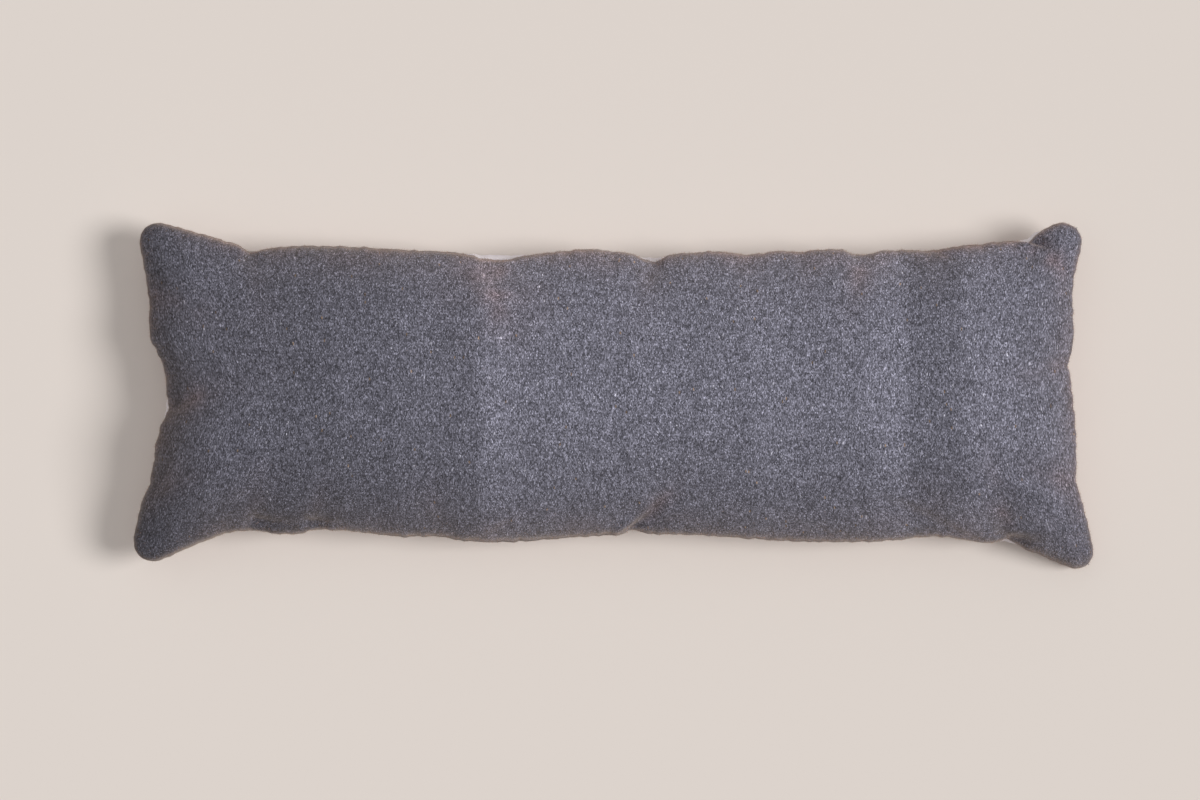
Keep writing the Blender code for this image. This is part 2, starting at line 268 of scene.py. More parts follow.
# %% The tucks: depth in plan, width, reach up the crown, valley, lean, and the bulge of the white back
Tuck = namedtuple("Tuck", "side place depth width reach drop lean bulge")
TUCKS = [
    Tuck("top", -346.0, 3.0, 11.0, 40.0, 3.0, 0.3, 0.0),
    Tuck("top", -112.0, 9.5, 29.0, 60.0, 5.0, 0.0, 7.8),
    Tuck("top", 36.0, 8.0, 12.0, 45.0, 4.0, -0.2, 6.2),
    Tuck("top", 126.0, 3.0, 17.0, 34.0, 1.5, 0.0, 0.0),
    Tuck("top", 178.0, 2.0, 10.0, 30.0, 1.2, 0.1, 0.0),
    Tuck("top", 235.0, 5.5, 14.0, 40.0, 3.0, -0.2, 0.0),
    Tuck("top", 302.0, 2.2, 15.0, 34.0, 1.5, 0.2, 0.0),
    Tuck("top", 396.0, 3.5, 10.0, 40.0, 6.0, 0.7, 7.5),
    Tuck("bottom", -352.0, 1.0, 14.0, 40.0, 3.0, 0.3, 0.0),
    Tuck("bottom", -285.0, 1.5, 10.0, 34.0, 2.0, 0.2, 0.0),
    Tuck("bottom", -170.0, 3.0, 20.0, 36.0, 1.8, 0.0, 0.0),
    Tuck("bottom", 19.0, 4.5, 10.0, 45.0, 4.0, 0.8, 0.0),
    Tuck("bottom", 302.0, 2.0, 24.0, 40.0, 2.0, 0.1, 0.0),
    Tuck("bottom", 376.0, 2.5, 9.0, 50.0, 5.0, -0.3, 4.6),
    Tuck("left", -12.0, 3.5, 13.0, 60.0, 4.5, 0.3, 5.0),
    Tuck("left", 96.0, 0.0, 16.0, 44.0, 3.0, -0.3, 0.0),
    Tuck("left", -88.0, 0.0, 16.0, 44.0, 3.0, 0.3, 0.0),
    Tuck("right", 51.5, 0.8, 5.0, 30.0, 1.0, 0.0, 0.0),
    Tuck("right", 30.0, 3.5, 11.0, 40.0, 2.5, -0.2, 0.0),
    Tuck("right", -84.0, 0.0, 16.0, 40.0, 2.5, 0.3, 0.0),
]
print("tucks along the seam:", len(TUCKS))

# %% Gather the cloth at the tucks
VALLEY_PEAK = 1.0 / 3.0
CREASE_POWER = 1.3
BULGE_PEAK = 5.0


def hump(distance, peak):
    """0 at the seam, 1 where it peaks, then dying away."""
    t = distance / peak
    return t * np.exp(1.0 - t)


def draw_in(a, b):
    """The gathered plan, the depth of the valleys, and the bulge of the back panel."""
    base = plan(a, b)
    from_side = inward(a, b)
    shift, bulge = np.zeros_like(base), np.zeros_like(base)
    valley = np.zeros_like(a)
    for tuck in TUCKS:
        side = SIDES[tuck.side]
        up = from_side[tuck.side]
        off = base[..., side.axis] - tuck.place - tuck.lean * up
        bell = np.exp(-((off / tuck.width) ** 2))
        crease = np.exp(-(np.abs(off / tuck.width) ** CREASE_POWER))
        t = np.clip(up / tuck.reach, 0.0, 1.0)
        shift[..., 1 - side.axis] -= side.facing * tuck.depth * bell * (1.0 - t) ** 2 * (1.0 + 2.0 * t)
        bulge[..., 1 - side.axis] += side.facing * tuck.bulge * bell * hump(up, BULGE_PEAK)
        valley += tuck.drop * crease * hump(up, tuck.reach * VALLEY_PEAK)
    off_seam = rim(a, b) / RIM_ROLL
    return base + shift, valley * off_seam, bulge


print("tucks where the back shows:", sum(tuck.bulge > 0.0 for tuck in TUCKS))

# %% [markdown]
# ## The crown and the belly
#
# The fill lifts the front into a crown that is full over the middle and falls to the seam on all sides.
# The back hangs below the seam in the same way, but the table stops it, so it ends in a flat patch. An
# inflated balloon would be too round at its ends. The height used here is a product of two falling
# curves, one along and one across, which leaves the corners thin, as they are on a real pillow.

# %% The uneven fill
Lump = namedtuple("Lump", "x y length width height")
LUMPS = [
    Lump(-392.0, -80.0, 58.0, 50.0, 23.0),
    Lump(-405.0, 0.0, 50.0, 40.0, 4.0),
    Lump(-385.0, 78.0, 58.0, 55.0, -10.0),
    Lump(-280.0, 30.0, 80.0, 80.0, 2.0),
    Lump(-205.0, -30.0, 70.0, 90.0, -2.0),
    Lump(-60.0, 25.0, 120.0, 90.0, 2.0),
    Lump(70.0, -35.0, 80.0, 80.0, -2.2),
    Lump(190.0, 20.0, 90.0, 80.0, 2.2),
    Lump(330.0, -15.0, 80.0, 90.0, -2.0),
]


def patches(points, table):
    """The sum of a table's soft round patches at each point."""
    total = np.zeros(points.shape[:-1])
    for lump in table:
        x = (points[..., 0] - lump.x) / lump.length
        y = (points[..., 1] - lump.y) / lump.width
        total += lump.height * np.exp(-(x * x + y * y))
    return total


print("lumps in the fill:", len(LUMPS))

# %% How full the pillow is, and how high its seam lies
ACROSS_POWER = 2.2
ALONG_POWER = 6.0
FALL_POWER = 0.6
SEAM_HEIGHT = 44.0
TIP_ACROSS_POWER = 3.0


def fullness(a, b):
    """1 over the middle of the pillow, 0 at the seam."""
    across = (1.0 - np.abs(b) ** ACROSS_POWER) ** FALL_POWER
    along = (1.0 - np.abs(a) ** ALONG_POWER) ** FALL_POWER
    return across * along


def seam_height(a, b):
    """Height of the seam over the table, lower towards the tip of each ear."""
    height = np.full(a.shape, SEAM_HEIGHT)
    for ear in EARS.values():
        in_corner = (a * ear.x > 0.0) & (b * ear.y > 0.0)
        near_tip = np.abs(a) ** ear.drop_power * np.abs(b) ** TIP_ACROSS_POWER
        height -= ear.tip_drop * near_tip * in_corner
    return height


print("ear tips over the table, in mm:", {name: SEAM_HEIGHT - ear.tip_drop for name, ear in EARS.items()})

# %% The two panels
CROWN_RISE = 74.0
BELLY_DROP = 52.0
FLOOR_BLEND = 4.0
BULGE_RISE = 0.55  # the bulging back also swells upwards, by this share


def soft_floor(height):
    """0 where the cloth would lie below the table, with a soft start of its rise."""
    eased = (height + FLOOR_BLEND) ** 2 / (4.0 * FLOOR_BLEND)
    return np.where(height < -FLOOR_BLEND, 0.0, np.where(height > FLOOR_BLEND, height, eased))


def front_surface(a, b):
    """Points of the wool front, in millimetres."""
    points, valley, _ = draw_in(a, b)
    crown = fullness(a, b) * (CROWN_RISE + patches(points, LUMPS))
    height = seam_height(a, b) + rim(a, b) + crown - valley
    return np.concatenate([points, height[..., None]], axis=-1)


def back_surface(a, b):
    """Points of the cotton back, in millimetres."""
    points, _, bulge = draw_in(a, b)
    raised = BULGE_RISE * np.linalg.norm(bulge, axis=-1)
    height = soft_floor(seam_height(a, b) - rim(a, b) - fullness(a, b) * BELLY_DROP + raised)
    return np.concatenate([points + bulge, height[..., None]], axis=-1)


print("crown over the seam:", CROWN_RISE + RIM_ROLL, "mm")

# %% [markdown]
# ## The grid's lines
#
# The cloth bends most beside the seam and hardly at all over the middle. An even grid fine enough for the
# seam would have far too many faces, so the cells start small at the seam and grow to their full size
# within eight lines. There are two grids: a coarse one for the stuffing, and one with twice its lines.

# %% Two grids whose cells are finer beside the seam
FIRST_CELL = 0.3
CELL_RAMP = 8
SIM_CELLS_ALONG = 180
SIM_CELLS_ACROSS = 60


def grid_lines(cells):
    """Lines from -1 to 1, closer together at both ends."""
    i = np.arange(cells)
    from_end = np.minimum(i, cells - 1 - i) / CELL_RAMP
    lengths = FIRST_CELL + (1.0 - FIRST_CELL) * np.minimum(from_end, 1.0)
    lines = np.concatenate([[0.0], np.cumsum(lengths)])
    return 2.0 * lines / lines[-1] - 1.0


def halved(lines):
    """The same grid lines with one more in the middle of each cell."""
    fine = np.empty(2 * len(lines) - 1)
    fine[::2] = lines
    fine[1::2] = (lines[1:] + lines[:-1]) / 2.0
    return fine


coarse_along, coarse_across = grid_lines(SIM_CELLS_ALONG), grid_lines(SIM_CELLS_ACROSS)
coarse_a, coarse_b = np.meshgrid(coarse_along, coarse_across, indexing="ij")
fine_a, fine_b = np.meshgrid(halved(coarse_along), halved(coarse_across), indexing="ij")
print("lines of the fine grid:", fine_a.shape)

# %% Put the middle of the pillow on the origin
outline = draw_in(fine_a, fine_b)[0].reshape(-1, 2)
middle = (outline.min(axis=0) + outline.max(axis=0)) / 2.0
print("plan size in mm:", np.round(np.ptp(outline, axis=0), 1))


def place(surface, a, b):
    """A surface's points in metres, round the middle of the pillow."""
    return (surface(a, b) - np.append(middle, 0.0)) * MM


# %% [markdown]
# ## Stuffing the pillow
#
# A computed crown is too even. Sculpting would mend that slowly, so the cloth simulation does it: it
# pushes the two panels out from inside like the fill does, and the cloth pulls tight between the tucks.
# The seam and the flat patch on the table are held, and each point may move only a few millimetres, so
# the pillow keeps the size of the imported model. The simulation runs on the coarse grid, and its movement
# is then spread over the fine one.

# %% Sew the two grids into one closed form
def quads(index):
    """The four corners of each cell of a grid of point numbers."""
    corners = [index[:-1, :-1], index[1:, :-1], index[1:, 1:], index[:-1, 1:]]
    return np.stack(corners, axis=-1).reshape(-1, 4)


def sewn_faces(rows, columns):
    """Faces of a front and a back grid that share their seam, and the number of each back point."""
    front = np.arange(rows * columns).reshape(rows, columns)
    back = front.copy()
    inner = rows * columns + np.arange((rows - 2) * (columns - 2))
    back[1:-1, 1:-1] = inner.reshape(rows - 2, columns - 2)
    return np.concatenate([quads(front), quads(back)[:, ::-1]]), back


def at_the_seam(shape):
    """True on the outermost lines of a grid."""
    edge = np.zeros(shape, bool)
    edge[[0, -1], :] = True
    edge[:, [0, -1]] = True
    return edge


def mesh_object(name, points, faces):
    """A new object in the scene, from its points in metres and its faces."""
    mesh = bpy.data.meshes.new(name)
    mesh.from_pydata(points.tolist(), [], faces.tolist())
    mesh.update()
    made = bpy.data.objects.new(name, mesh)
    bpy.context.scene.collection.objects.link(made)
    return made


print("faces of the form to stuff:", len(sewn_faces(*coarse_a.shape)[0]))

# %% The cloth and its pressure
PRESSURE = 4.0
SIM_FRAMES = 20
CLOTH_MASS = 0.4
CLOTH_STIFFNESS = 8.0
CLOTH_BENDING = 0.6
CLOTH_QUALITY = 4


def inflate(form, held_points):
    """Runs the cloth simulation with a pressure inside, and gives the points it ends with."""
    pins = form.vertex_groups.new(name="held")
    pins.add(np.unique(held_points).tolist(), 1.0, "REPLACE")
    cloth = form.modifiers.new("stuffing", "CLOTH")
    cloth.settings.vertex_group_mass = "held"
    cloth.settings.quality = CLOTH_QUALITY
    cloth.settings.mass = CLOTH_MASS
    cloth.settings.tension_stiffness = CLOTH_STIFFNESS
    cloth.settings.compression_stiffness = CLOTH_STIFFNESS
    cloth.settings.bending_stiffness = CLOTH_BENDING
    cloth.settings.use_pressure = True
    cloth.settings.uniform_pressure_force = PRESSURE
    cloth.settings.effector_weights.gravity = 0.0
    cloth.collision_settings.use_collision = False
    cloth.point_cache.frame_end = SIM_FRAMES
    for number in range(1, SIM_FRAMES + 1):
        bpy.context.scene.frame_set(number)
    shaped = form.evaluated_get(bpy.context.evaluated_depsgraph_get())
    moved = np.empty(len(form.data.vertices) * 3, np.float32)
    shaped.data.vertices.foreach_get("co", moved)
    return moved.reshape(-1, 3)


print("steps of the simulation:", SIM_FRAMES)

# %% Hold the seam and the flat patch, and push the rest out
MOST_PUSH = 7.0
STILL_BELOW = 3.0


def stuffed(front, back):
    """How far the fill pushes each point of the two coarse grids, in metres."""
    rows, columns = front.shape[:2]
    faces, back_index = sewn_faces(rows, columns)
    points = np.concatenate([front.reshape(-1, 3), back[1:-1, 1:-1].reshape(-1, 3)])
    form = mesh_object("stuffing_form", points, faces)
    on_table = back_index[back[..., 2] < STILL_BELOW * MM]
    held_points = np.concatenate([np.flatnonzero(at_the_seam((rows, columns))), on_table])
    push = inflate(form, held_points) - points
    bpy.data.objects.remove(form)
    bpy.context.scene.frame_set(1)
    length = np.linalg.norm(push, axis=1, keepdims=True)
    push *= np.minimum(1.0, MOST_PUSH * MM / np.maximum(length, NOTHING))
    print("pushed by up to", round(float(length.max()) / MM, 1), "mm, kept to", MOST_PUSH)
    return push[: rows * columns].reshape(rows, columns, 3), push[back_index]


print("held where the back lies under", STILL_BELOW, "mm")

# %% Spread a coarse grid's movement over the fine grid
def spread(values):
    """Puts a smooth point between every two points, along both directions."""
    for axis in (0, 1):
        values = np.moveaxis(values, axis, 0)
        padded = np.concatenate([2 * values[:1] - values[1:2], values, 2 * values[-1:] - values[-2:-1]])
        fine = np.empty((2 * len(values) - 1, *values.shape[1:]))
        fine[::2] = values
        fine[1::2] = (9.0 * (values[:-1] + values[1:]) - padded[:-3] - padded[3:]) / 16.0
        values = np.moveaxis(fine, 0, axis)
    return values


print("a small grid before and after:", np.zeros((5, 4)).shape, spread(np.zeros((5, 4))).shape)

# %% Stuff the pillow
front = place(front_surface, fine_a, fine_b)
back = place(back_surface, fine_a, fine_b)
pushes = stuffed(place(front_surface, coarse_a, coarse_b), place(back_surface, coarse_a, coarse_b))
front += spread(pushes[0])
back += spread(pushes[1])
back[..., 2] = np.maximum(back[..., 2], 0.0)
print("crown height in mm:", round(float(front[..., 2].max()) / MM, 1))

# %% [markdown]
# ## Folds
#
# In a few places the cloth has folded over itself: beside a deep tuck, and where an ear leaves the body.
# A finer simulation might fold there by itself, but not in the right places. So each fold is a line that
# starts at the seam. Along it the cloth dips, and on one side of the dip it swells into a small roll.

# %% The folds: where each starts, its heading in degrees, length, depth, width and roll
Fold = namedtuple("Fold", "x y heading length dip width roll")
FOLDS = [
    Fold(10.0, -129.0, 34.0, 42.0, 5.0, 3.6, 2.6),
    Fold(395.0, 147.5, -17.0, 38.0, 8.5, 3.2, -4.2),
    Fold(364.0, -132.0, 128.0, 34.0, 4.0, 6.0, -1.6),
    Fold(378.0, -136.0, -8.0, 40.0, 4.5, 5.0, 2.2),
    Fold(-338.0, -119.0, -3.0, 50.0, 4.2, 5.5, -2.0),
    Fold(-288.0, -119.5, -1.0, 42.0, 3.8, 5.0, -1.8),
    Fold(306.0, 136.0, -20.0, 30.0, 2.8, 4.0, 2.2),
    Fold(338.0, 142.0, -16.0, 34.0, 2.2, 4.0, 1.8),
    Fold(-346.0, 138.0, -132.0, 40.0, 2.4, 5.0, -1.2),
    Fold(-112.0, 127.0, -112.0, 40.0, 2.2, 6.0, 1.2),
    Fold(36.0, 128.0, -50.0, 34.0, 2.4, 4.5, 1.4),
    Fold(-348.0, -128.0, 60.0, 44.0, 2.2, 5.0, 1.0),
    Fold(-285.0, -127.0, 118.0, 30.0, 1.8, 4.0, 1.0),
    Fold(-426.0, -14.0, 28.0, 50.0, 2.6, 6.0, 1.4),
    Fold(434.0, 28.0, 166.0, 34.0, 1.6, 4.5, 0.8),
]
print("folds:", len(FOLDS))

# %% Fold the cloth
FOLD_FADE_POWER = 1.5
FOLD_START = 7.0
DIP_POWER = 1.4
ROLL_PLACE = 2.0
FOLD_CLEAR = 3.5


def normals(points):
    """Unit normals of a grid of points, looking up for the front panel."""
    along = np.gradient(points, axis=0)
    across = np.gradient(points, axis=1)
    up = np.cross(along, across)
    return up / np.maximum(np.linalg.norm(up, axis=-1, keepdims=True), NOTHING)


def fold_height(points, a, b):
    """Millimetres by which the folds raise or lower each point of the front."""
    plan_points = points[..., :2] / MM + middle
    total = np.zeros(a.shape)
    for fold in FOLDS:
        turn = math.radians(fold.heading)
        away = plan_points - np.array([fold.x, fold.y])
        along = away[..., 0] * math.cos(turn) + away[..., 1] * math.sin(turn)
        side = away[..., 1] * math.cos(turn) - away[..., 0] * math.sin(turn)
        t = np.clip(along / fold.length, 0.0, 1.0)
        start = np.where(along < 0.0, np.exp(-((along / FOLD_START) ** 2)), 1.0)
        dip = np.exp(-(np.abs(side / fold.width) ** DIP_POWER))
        facing = math.copysign(1.0, fold.roll)
        roll = np.exp(-((side * facing / fold.width - ROLL_PLACE) ** 2))
        total += (1.0 - t) ** FOLD_FADE_POWER * start * (abs(fold.roll) * roll - fold.dip * dip)
    return total * (1.0 - np.exp(-((from_seam(a, b) / FOLD_CLEAR) ** 2)))


folded_by = fold_height(front, fine_a, fine_b)
front += normals(front) * (folded_by * MM)[..., None]
print("deepest fold:", round(float(-folded_by.min()), 1), "mm")

# %% [markdown]
# ## The seam itself
#
# Where two panels are sewn, the thread pulls the cloth into a shallow groove, and the cloth between the
# stitches puckers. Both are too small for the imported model. A bump in the material would not change the
# outline, so they are pressed into the fine grid: a groove along the seam with a swell behind it, a wave
# in the line of the seam, and gentle puckers that run a little way up each panel.

# %% An uneven ripple along the seam
SIDE_START, END_START = 3000.0, 7000.0  # keep the ripples of the four sides apart


def ripple(distance, shortest, longest, waves, seed):
    """A smooth uneven wave along a line, about 1 high, made of waves between two lengths."""
    draws = np.random.default_rng(seed)
    lengths = np.geomspace(shortest, longest, waves)
    starts = draws.uniform(0.0, 2.0 * math.pi, waves)
    total = sum(np.sin(2.0 * math.pi * distance / long + start) for long, start in zip(lengths, starts))
    return total / math.sqrt(waves / 2.0)


def along_seam(points, a, b):
    """A length in millimetres that runs along the nearest seam, the same for both panels."""
    near_long_side = (1.0 - np.abs(b)) * BODY_WIDTH < (1.0 - np.abs(a)) * BODY_LENGTH
    side = np.where(near_long_side, np.sign(b) * SIDE_START, np.sign(a) * END_START)
    return side + np.where(near_long_side, points[..., 0], points[..., 1]) / MM


longest_run = float(along_seam(front, fine_a, fine_b).max()) - END_START
print("the right end's seam runs up to", round(longest_run, 1), "mm from the middle")

# %% Press the groove, the wave and the puckers
GROOVE, GROOVE_WIDTH = 2.0, 2.2
SWELL, SWELL_REACH = 2.3, 12.0
SEAM_WAVE, SEAM_WAVE_REACH = 0.35, 5.0
SEAM_WAVES = (8.0, 30.0, 8)  # shortest, longest and how many
PUCKER, PUCKER_START, PUCKER_REACH = 0.6, 4.0, 14.0
PUCKER_WAVES = (10.0, 34.0, 9)
TIP_ALONG_POWER = 10.0
LESS_GROOVE_AT_EARS, LESS_WAVE_AT_EARS = 0.7, 0.6


def bell(distance, width):
    """1 at no distance, dying away within the width."""
    return np.exp(-((distance / width) ** 2))


def press_seam(points, a, b, facing):
    """Points of a panel with the groove, wave and puckers; facing is 1 for the front, -1 for the back."""
    distance = from_seam(a, b)
    outward = normals(points) * facing
    level = outward.copy()
    level[..., 2] = 0.0
    level /= np.maximum(np.linalg.norm(level, axis=-1, keepdims=True), NOTHING)
    at_ear = np.abs(a) ** TIP_ALONG_POWER * np.abs(b) ** TIP_ACROSS_POWER
    groove = GROOVE * bell(distance, GROOVE_WIDTH) - SWELL * bell(distance, SWELL_REACH)
    groove = groove * (1.0 - LESS_GROOVE_AT_EARS * at_ear)
    place_on_seam = along_seam(points, a, b)
    wave = SEAM_WAVE * ripple(place_on_seam, *SEAM_WAVES, seed=11)
    wave = wave * (1.0 - LESS_WAVE_AT_EARS * at_ear) * bell(distance, SEAM_WAVE_REACH)
    pucker = PUCKER * ripple(place_on_seam, *PUCKER_WAVES, seed=4)
    pucker = pucker * np.exp(-distance / PUCKER_REACH) * (1.0 - bell(distance, PUCKER_START))
    return points + level * ((wave - groove) * MM)[..., None] + outward * (pucker * MM)[..., None]


front = press_seam(front, fine_a, fine_b, 1.0)
back = press_seam(back, fine_a, fine_b, -1.0)
print("groove", GROOVE, "mm, puckers", PUCKER, "mm")

# %% Bring the two panels together at the seam
SEAM_GAP = 0.3

shared = at_the_seam(fine_a.shape)
back[shared] = front[shared]
back[shared, 2] -= SEAM_GAP * MM
back[..., 2] = np.maximum(back[..., 2], 0.0)
print("points on the seam:", int(shared.sum()))

# %% [markdown]
# ## Where each thread lies
#
# The weave needs a pair of lengths for every point: how far along the cloth it is, and how far across,
# measured over the cloth and not straight down. Unwrapping would give the threads a wavy course. A weft
# thread is one line of the grid, so each line gets the mean length up to it instead, and the threads run
# on unbroken from seam to seam. The lengths go into a UV map in metres.

# %% Lengths measured over the cloth
def cloth_lengths(points):
    """Lengths along and across the cloth from its middle, in metres, for each point of a grid."""
    along = np.linalg.norm(np.diff(points, axis=0), axis=-1).mean(axis=1)
    across = np.linalg.norm(np.diff(points, axis=1), axis=-1).mean(axis=0)
    u = np.concatenate([[0.0], np.cumsum(along)])
    v = np.concatenate([[0.0], np.cumsum(across)])
    return np.meshgrid(u - u[len(u) // 2], v - v[len(v) // 2], indexing="ij")


front_lengths = cloth_lengths(front)
back_lengths = cloth_lengths(back)
print("front panel over the cloth, in mm:", [round(np.ptp(lengths) / MM) for lengths in front_lengths])

# %% [markdown]
# ## The two pieces
#
# The back panel is a sheet of cotton with a real thickness. The front is a closed, filled form: its
# underside follows the back panel a little way inside it, so that no light passes and nothing is hollow.
# A Solidify modifier would cross itself in the ears, so both are closed from two grids of points.

# %% Close a form from two grids
def closed_form(name, upper, lower, lengths):
    """One closed mesh from two grids of points with the same lines, joined round their rims."""
    rows, columns = upper.shape[:2]
    count = rows * columns
    index = np.arange(count).reshape(rows, columns)
    cells = quads(index)
    loop = np.concatenate([index[:-1, 0], index[-1, :-1], index[:0:-1, -1], index[0, :0:-1]])
    following = np.roll(loop, -1)
    band = np.stack([loop, loop + count, following + count, following], axis=-1)
    faces = np.concatenate([cells, cells[:, ::-1] + count, band])
    made = mesh_object(name, np.concatenate([upper.reshape(-1, 3), lower.reshape(-1, 3)]), faces)
    mesh = made.data

    per_point = np.stack([np.tile(length.ravel(), 2) for length in lengths], axis=-1)
    corner_points = np.empty(len(mesh.loops), np.int32)
    mesh.loops.foreach_get("vertex_index", corner_points)
    cloth_map = mesh.uv_layers.new(name="cloth")
    cloth_map.data.foreach_set("uv", per_point[corner_points].astype(np.float32).ravel())
    mesh.shade_smooth()
    print(name, "faces:", len(mesh.polygons))
    return made


# %% Make the filled front and the back panel
SHEET_THICKNESS = 1.6
INSIDE = 0.4

back_inward = normals(back)
sheet_inside = back + back_inward * (SHEET_THICKNESS * MM)
underside = back + back_inward * ((SHEET_THICKNESS + INSIDE) * MM)
underside[shared, 2] += SEAM_GAP * MM
wool_front = closed_form("wool_front", front, underside, front_lengths)
cotton_back = closed_form("cotton_back", sheet_inside, back, back_lengths)
print("sheet", SHEET_THICKNESS, "mm thick, the fill", INSIDE, "mm inside it")

# %% [markdown]
# ## Painted light and shade on the wool
#
# Beside the seam and down in the tucks, where the cloth turns over, the colour carries a painted warm glow
# that stands in for the sheen of the nap and the light thrown back by the pale table. Paler and darker
# patches elsewhere are painted light and painted shade on ears, folds, hollows and puffs. Each point of
# the wool carries two numbers for these, worked out from the shape and from a short table, and the
# material reads them.

# %% How much painted warm glow each point gets
NEAR_FADE, FAR_FADE = 6.5, 22.0
FULL_TURN = 0.7
LEVEL_SHARE, TURNED_SHARE = 0.4, 0.6
WIDE_SHARE = 0.8
DEEP_VALLEY = 5.0
LESS_AT_NEAR_SIDE = ((-1.0, -0.8), (0.3, 1.0))
MORE_AT_LEFT_END = ((-1.0, -0.95), (1.25, 1.0))


def number_points(piece, name, values):
    """Stores one number for each point of a piece made from two grids."""
    attribute = piece.data.attributes.new(name, "FLOAT", "POINT")
    attribute.data.foreach_set("value", np.tile(values.ravel(), 2).astype(np.float32))


# painted warm glow: stands in for the nap's sheen and light thrown back by the table on steep cloth
def painted_glow_share(points, a, b):
    """0 where only the grey yarn shows, about 1 where the cloth turns over beside the seam and the painted
    warm glow is full.
    """
    turned = np.clip((1.0 - normals(points)[..., 2]) / FULL_TURN, 0.0, 1.0)
    to_seam = from_seam(a, b)
    close = (LEVEL_SHARE + TURNED_SHARE * turned) * bell(to_seam, NEAR_FADE)
    wide = WIDE_SHARE * turned * bell(to_seam, FAR_FADE)
    deep = np.clip(draw_in(a, b)[1] / DEEP_VALLEY, 0.0, WIDE_SHARE)
    most = np.maximum(np.maximum(close, wide), deep)
    return most * (np.interp(b, *LESS_AT_NEAR_SIDE) * np.interp(a, *MORE_AT_LEFT_END))


painted_rim_glow = painted_glow_share(front, fine_a, fine_b)
number_points(wool_front, "painted_rim_glow", painted_rim_glow)
print("share of the wool that is mostly brown:", round(float((painted_rim_glow > 0.5).mean()), 3))

# %% Painted light and shade in patches
# painted shade where ears, folds and hollows turn away from the light, painted light on rolls and puffs
# that face it
PAINTED_LIGHT_AND_SHADE_PATCHES = [
    Lump(427.0, 152.0, 24.0, 22.0, -0.12),
    Lump(368.0, -112.0, 20.0, 34.0, -0.17),
    Lump(396.0, -136.0, 20.0, 9.0, -0.20),
    Lump(35.0, -112.0, 28.0, 22.0, -0.10),
    Lump(-314.0, -117.0, 22.0, 20.0, -0.18),
    Lump(-268.0, -114.0, 14.0, 12.0, -0.16),
    Lump(328.0, -120.0, 34.0, 20.0, 0.28),
    Lump(418.0, 72.0, 24.0, 50.0, -0.06),
    Lump(-262.0, -126.0, 38.0, 12.0, 0.18),
    Lump(-418.0, -128.0, 22.0, 22.0, -0.15),
    Lump(-418.0, 118.0, 14.0, 40.0, -0.12),
    Lump(426.0, -128.0, 18.0, 16.0, 0.10),
    Lump(-78.0, 124.0, 24.0, 10.0, 0.18),
    Lump(-165.0, 124.0, 24.0, 12.0, 0.14),
    Lump(255.0, 124.0, 30.0, 10.0, 0.12),
    Lump(-320.0, 124.0, 30.0, 10.0, 0.14),
]
number_points(wool_front, "painted_light_and_shade", patches(front / MM, PAINTED_LIGHT_AND_SHADE_PATCHES))
print("brushed patches:", len(PAINTED_LIGHT_AND_SHADE_PATCHES))

# %% [markdown]
# ## The wool's nap
#
# Wool is never smooth: fine fibres stand out of it, and against a pale table they show as a soft brownish
# line round the pillow. A hair system could grow them. Thin closed spikes in one plain mesh are used
# here, because they stay the same in every program. Most of them stand beside the seam, where the cloth
# turns over, and they lean in all directions.

# %% Where the fibres stand
FIBRES = 11000
FIBRE_LENGTHS = (1.1, 3.2)
FIBRE_RADII = (0.045, 0.09)
NAP_FADE = 7.0
NAP_ON_THE_FACE = 0.012
OUTWARD_LEAN = 1.1
ROOT_DEPTH = 0.5


def unit(vectors):
    return vectors / np.maximum(np.linalg.norm(vectors, axis=1, keepdims=True), NOTHING)


def fibre_roots(points, out, to_seam, draws):
    """A point on the cloth for each fibre, and the direction that the cloth faces there."""
    rows, columns = to_seam.shape
    along = np.linalg.norm(np.gradient(points, axis=0), axis=-1)
    across = np.linalg.norm(np.gradient(points, axis=1), axis=-1)
    wanted = along * across * (bell(to_seam, NAP_FADE) + NAP_ON_THE_FACE)
    picked = draws.choice(rows * columns, FIBRES, p=(wanted / wanted.sum()).ravel())
    i, j = np.unravel_index(picked, (rows, columns))
    towards_i = np.where(i < rows - 1, i + 1, i - 1)
    towards_j = np.where(j < columns - 1, j + 1, j - 1)
    share = draws.uniform(0.0, 0.5, (2, FIBRES, 1))
    root = points[i, j] + (points[towards_i, j] - points[i, j]) * share[0]
    root += (points[i, towards_j] - points[i, j]) * share[1]
    return root, out[i, j]


print("fibres to grow:", FIBRES)


# %% Grow the fibres
def grow_fibres(points, out, to_seam, seed):
    """One mesh of thin spikes, each with three sides and a closed foot."""
    draws = np.random.default_rng(seed)
    root, facing = fibre_roots(points, out, to_seam, draws)
    heading = unit(facing * OUTWARD_LEAN + unit(draws.normal(0.0, 1.0, (FIBRES, 3))))
    length = draws.uniform(*FIBRE_LENGTHS, (FIBRES, 1)) * MM
    radius = draws.uniform(*FIBRE_RADII, (FIBRES, 1)) * MM
    first = unit(np.cross(heading, draws.normal(0.0, 1.0, (FIBRES, 3))))
    second = np.cross(heading, first)
    foot = root - heading * ROOT_DEPTH * MM
    corners = []
    for k in range(3):
        turn = k * 2.0 * math.pi / 3.0
        corners.append(foot + radius * (first * math.cos(turn) + second * math.sin(turn)))
    corners.append(root + heading * length)
    number = 4 * np.arange(FIBRES)[:, None]
    sides = [number + np.array([k, (k + 1) % 3, 3]) for k in range(3)]
    faces = np.concatenate(sides + [number + np.array([0, 2, 1])])
    return mesh_object("wool_nap", np.stack(corners, axis=1).reshape(-1, 3), faces)


wool_nap = grow_fibres(front, normals(front), from_seam(fine_a, fine_b), seed=7)
print("wool nap triangles:", len(wool_nap.data.polygons))

